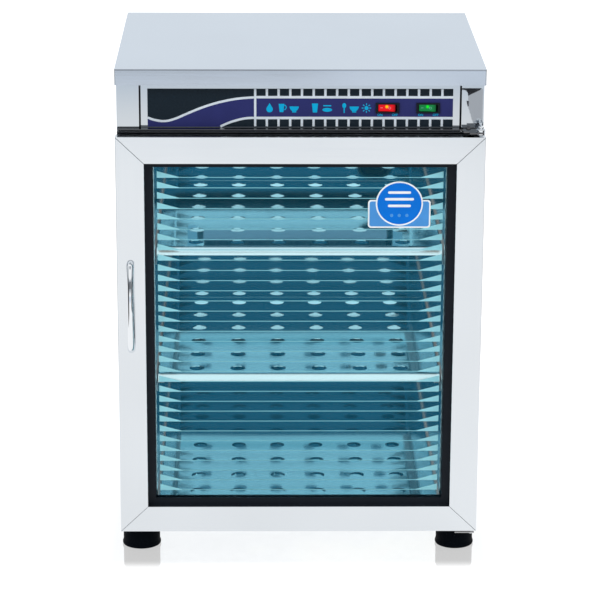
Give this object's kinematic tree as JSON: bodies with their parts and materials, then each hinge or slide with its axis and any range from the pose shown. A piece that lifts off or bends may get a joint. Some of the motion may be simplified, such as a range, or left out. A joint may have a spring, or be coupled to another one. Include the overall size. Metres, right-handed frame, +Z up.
{
  "type": "dish sterilizer cabinet",
  "caption": "Free-standing stainless cabinet with a hinged tinted-glass door, perforated shelves, an ultraviolet lamp and rocker switches in its header.",
  "frame": {"origin": "on the floor, under the centre of the whole object's box", "axes": "+X to the right as seen from the front, +Y to the back, +Z up; the door faces -Y"},
  "size_m": [0.4814, 0.4324, 0.67],
  "materials": {
    "satin_steel": "satin stainless steel, fine horizontal grain",
    "polished_steel": "bright polished stainless steel, nearly a mirror",
    "plain_steel": "plain dull steel sheet",
    "chrome": "polished chrome plate",
    "black_plastic": "moulded black plastic, low gloss",
    "black_rubber": "black rubber",
    "grey_seal": "dark grey magnetic seal",
    "tinted_glass": "teal tinted tempered glass with a printed pattern of pale stripes",
    "navy_film": "printed navy film with an indigo band and rows of squares",
    "red_lens": "translucent red, lit from inside",
    "green_lens": "translucent green, lit from inside",
    "lamp_glass": "clear quartz tube",
    "white_plastic": "moulded white plastic",
    "aluminium": "bright aluminium"
  },
  "bodies": {
    "cabinet": {"top_cover": "satin_steel", "side_panel_left": "satin_steel", "side_panel_right": "satin_steel", "back_panel": "plain_steel", "base_pan": "plain_steel", "front_frame": "satin_steel", "component_deck": "plain_steel", "header_post_left": "satin_steel", "header_post_right": "satin_steel", "control_fascia": "satin_steel", "control_label": "navy_film", "front_ledge": "satin_steel", "liner_left": "polished_steel", "liner_right": "polished_steel", "liner_back": "polished_steel", "liner_ceiling": "polished_steel", "liner_floor": "polished_steel", "shelf_rail_upper_left": "plain_steel", "shelf_rail_upper_right": "plain_steel", "shelf_rail_lower_left": "plain_steel", "shelf_rail_lower_right": "plain_steel", "foot_front_left": "black_rubber", "foot_front_right": "black_rubber", "foot_rear_left": "black_rubber", "foot_rear_right": "black_rubber", "uv_lamp_tube": "lamp_glass", "lamp_cap_left": "aluminium", "lamp_cap_right": "aluminium", "lampholder_left": "white_plastic", "lampholder_right": "white_plastic", "lamp_reflector": "aluminium", "ballast": "plain_steel", "starter_socket": "white_plastic", "starter": "white_plastic", "terminal_block": "white_plastic", "cord_gland": "black_rubber", "switch_housing_power": "black_plastic", "switch_housing_lamp": "black_plastic", "hinge_plate_top": "plain_steel", "hinge_plate_bottom": "plain_steel", "hinge_pin_top": "plain_steel", "hinge_pin_bottom": "plain_steel", "door_switch_body": "black_plastic"},
    "door": {"door_rail_top": "satin_steel", "door_rail_bottom": "satin_steel", "door_stile_left": "satin_steel", "door_stile_right": "satin_steel", "door_inner_frame": "black_plastic", "door_glass": "tinted_glass", "glass_retainer": "black_plastic", "door_seal": "grey_seal", "door_handle": "chrome", "hinge_bush_top": "black_plastic", "hinge_bush_bottom": "black_plastic"},
    "rocker_power": {"rocker_power": "red_lens"},
    "rocker_lamp": {"rocker_lamp": "green_lens"},
    "door_switch_plunger": {"door_switch_plunger": "white_plastic"},
    "shelf_upper": {"shelf_upper": "polished_steel"},
    "shelf_lower": {"shelf_lower": "polished_steel"},
    "floor_tray": {"floor_tray": "polished_steel"}
  },
  "joints": [
    {"name": "door_hinge", "type": "hinge", "parent": "cabinet", "child": "door", "pos_m": [0.234, -0.17815, 0.3115], "axis": [0, 0, 1], "range_deg": [0, 120]},
    {"name": "rocker_power_pivot", "type": "hinge", "parent": "cabinet", "child": "rocker_power", "pos_m": [0.116, -0.15015, 0.6159], "axis": [0, 0, 1], "range_deg": [0, 18]},
    {"name": "rocker_lamp_pivot", "type": "hinge", "parent": "cabinet", "child": "rocker_lamp", "pos_m": [0.169, -0.15015, 0.6159], "axis": [0, 0, 1], "range_deg": [0, 18]},
    {"name": "door_switch_slide", "type": "slide", "parent": "cabinet", "child": "door_switch_plunger", "axis": [0, -1, 0], "range_m": [0, 0.004]},
    {"name": "shelf_upper_slide", "type": "slide", "parent": "cabinet", "child": "shelf_upper", "axis": [0, -1, 0], "range_m": [0, 0.012]},
    {"name": "shelf_lower_slide", "type": "slide", "parent": "cabinet", "child": "shelf_lower", "axis": [0, -1, 0], "range_m": [0, 0.012]},
    {"name": "floor_tray_slide", "type": "slide", "parent": "cabinet", "child": "floor_tray", "axis": [0, -1, 0], "range_m": [0, 0.012]}
  ],
  "couplings": [
    {"joint": "door_switch_slide", "follows": "door_hinge", "m_per_rad": 0.0019}
  ]
}
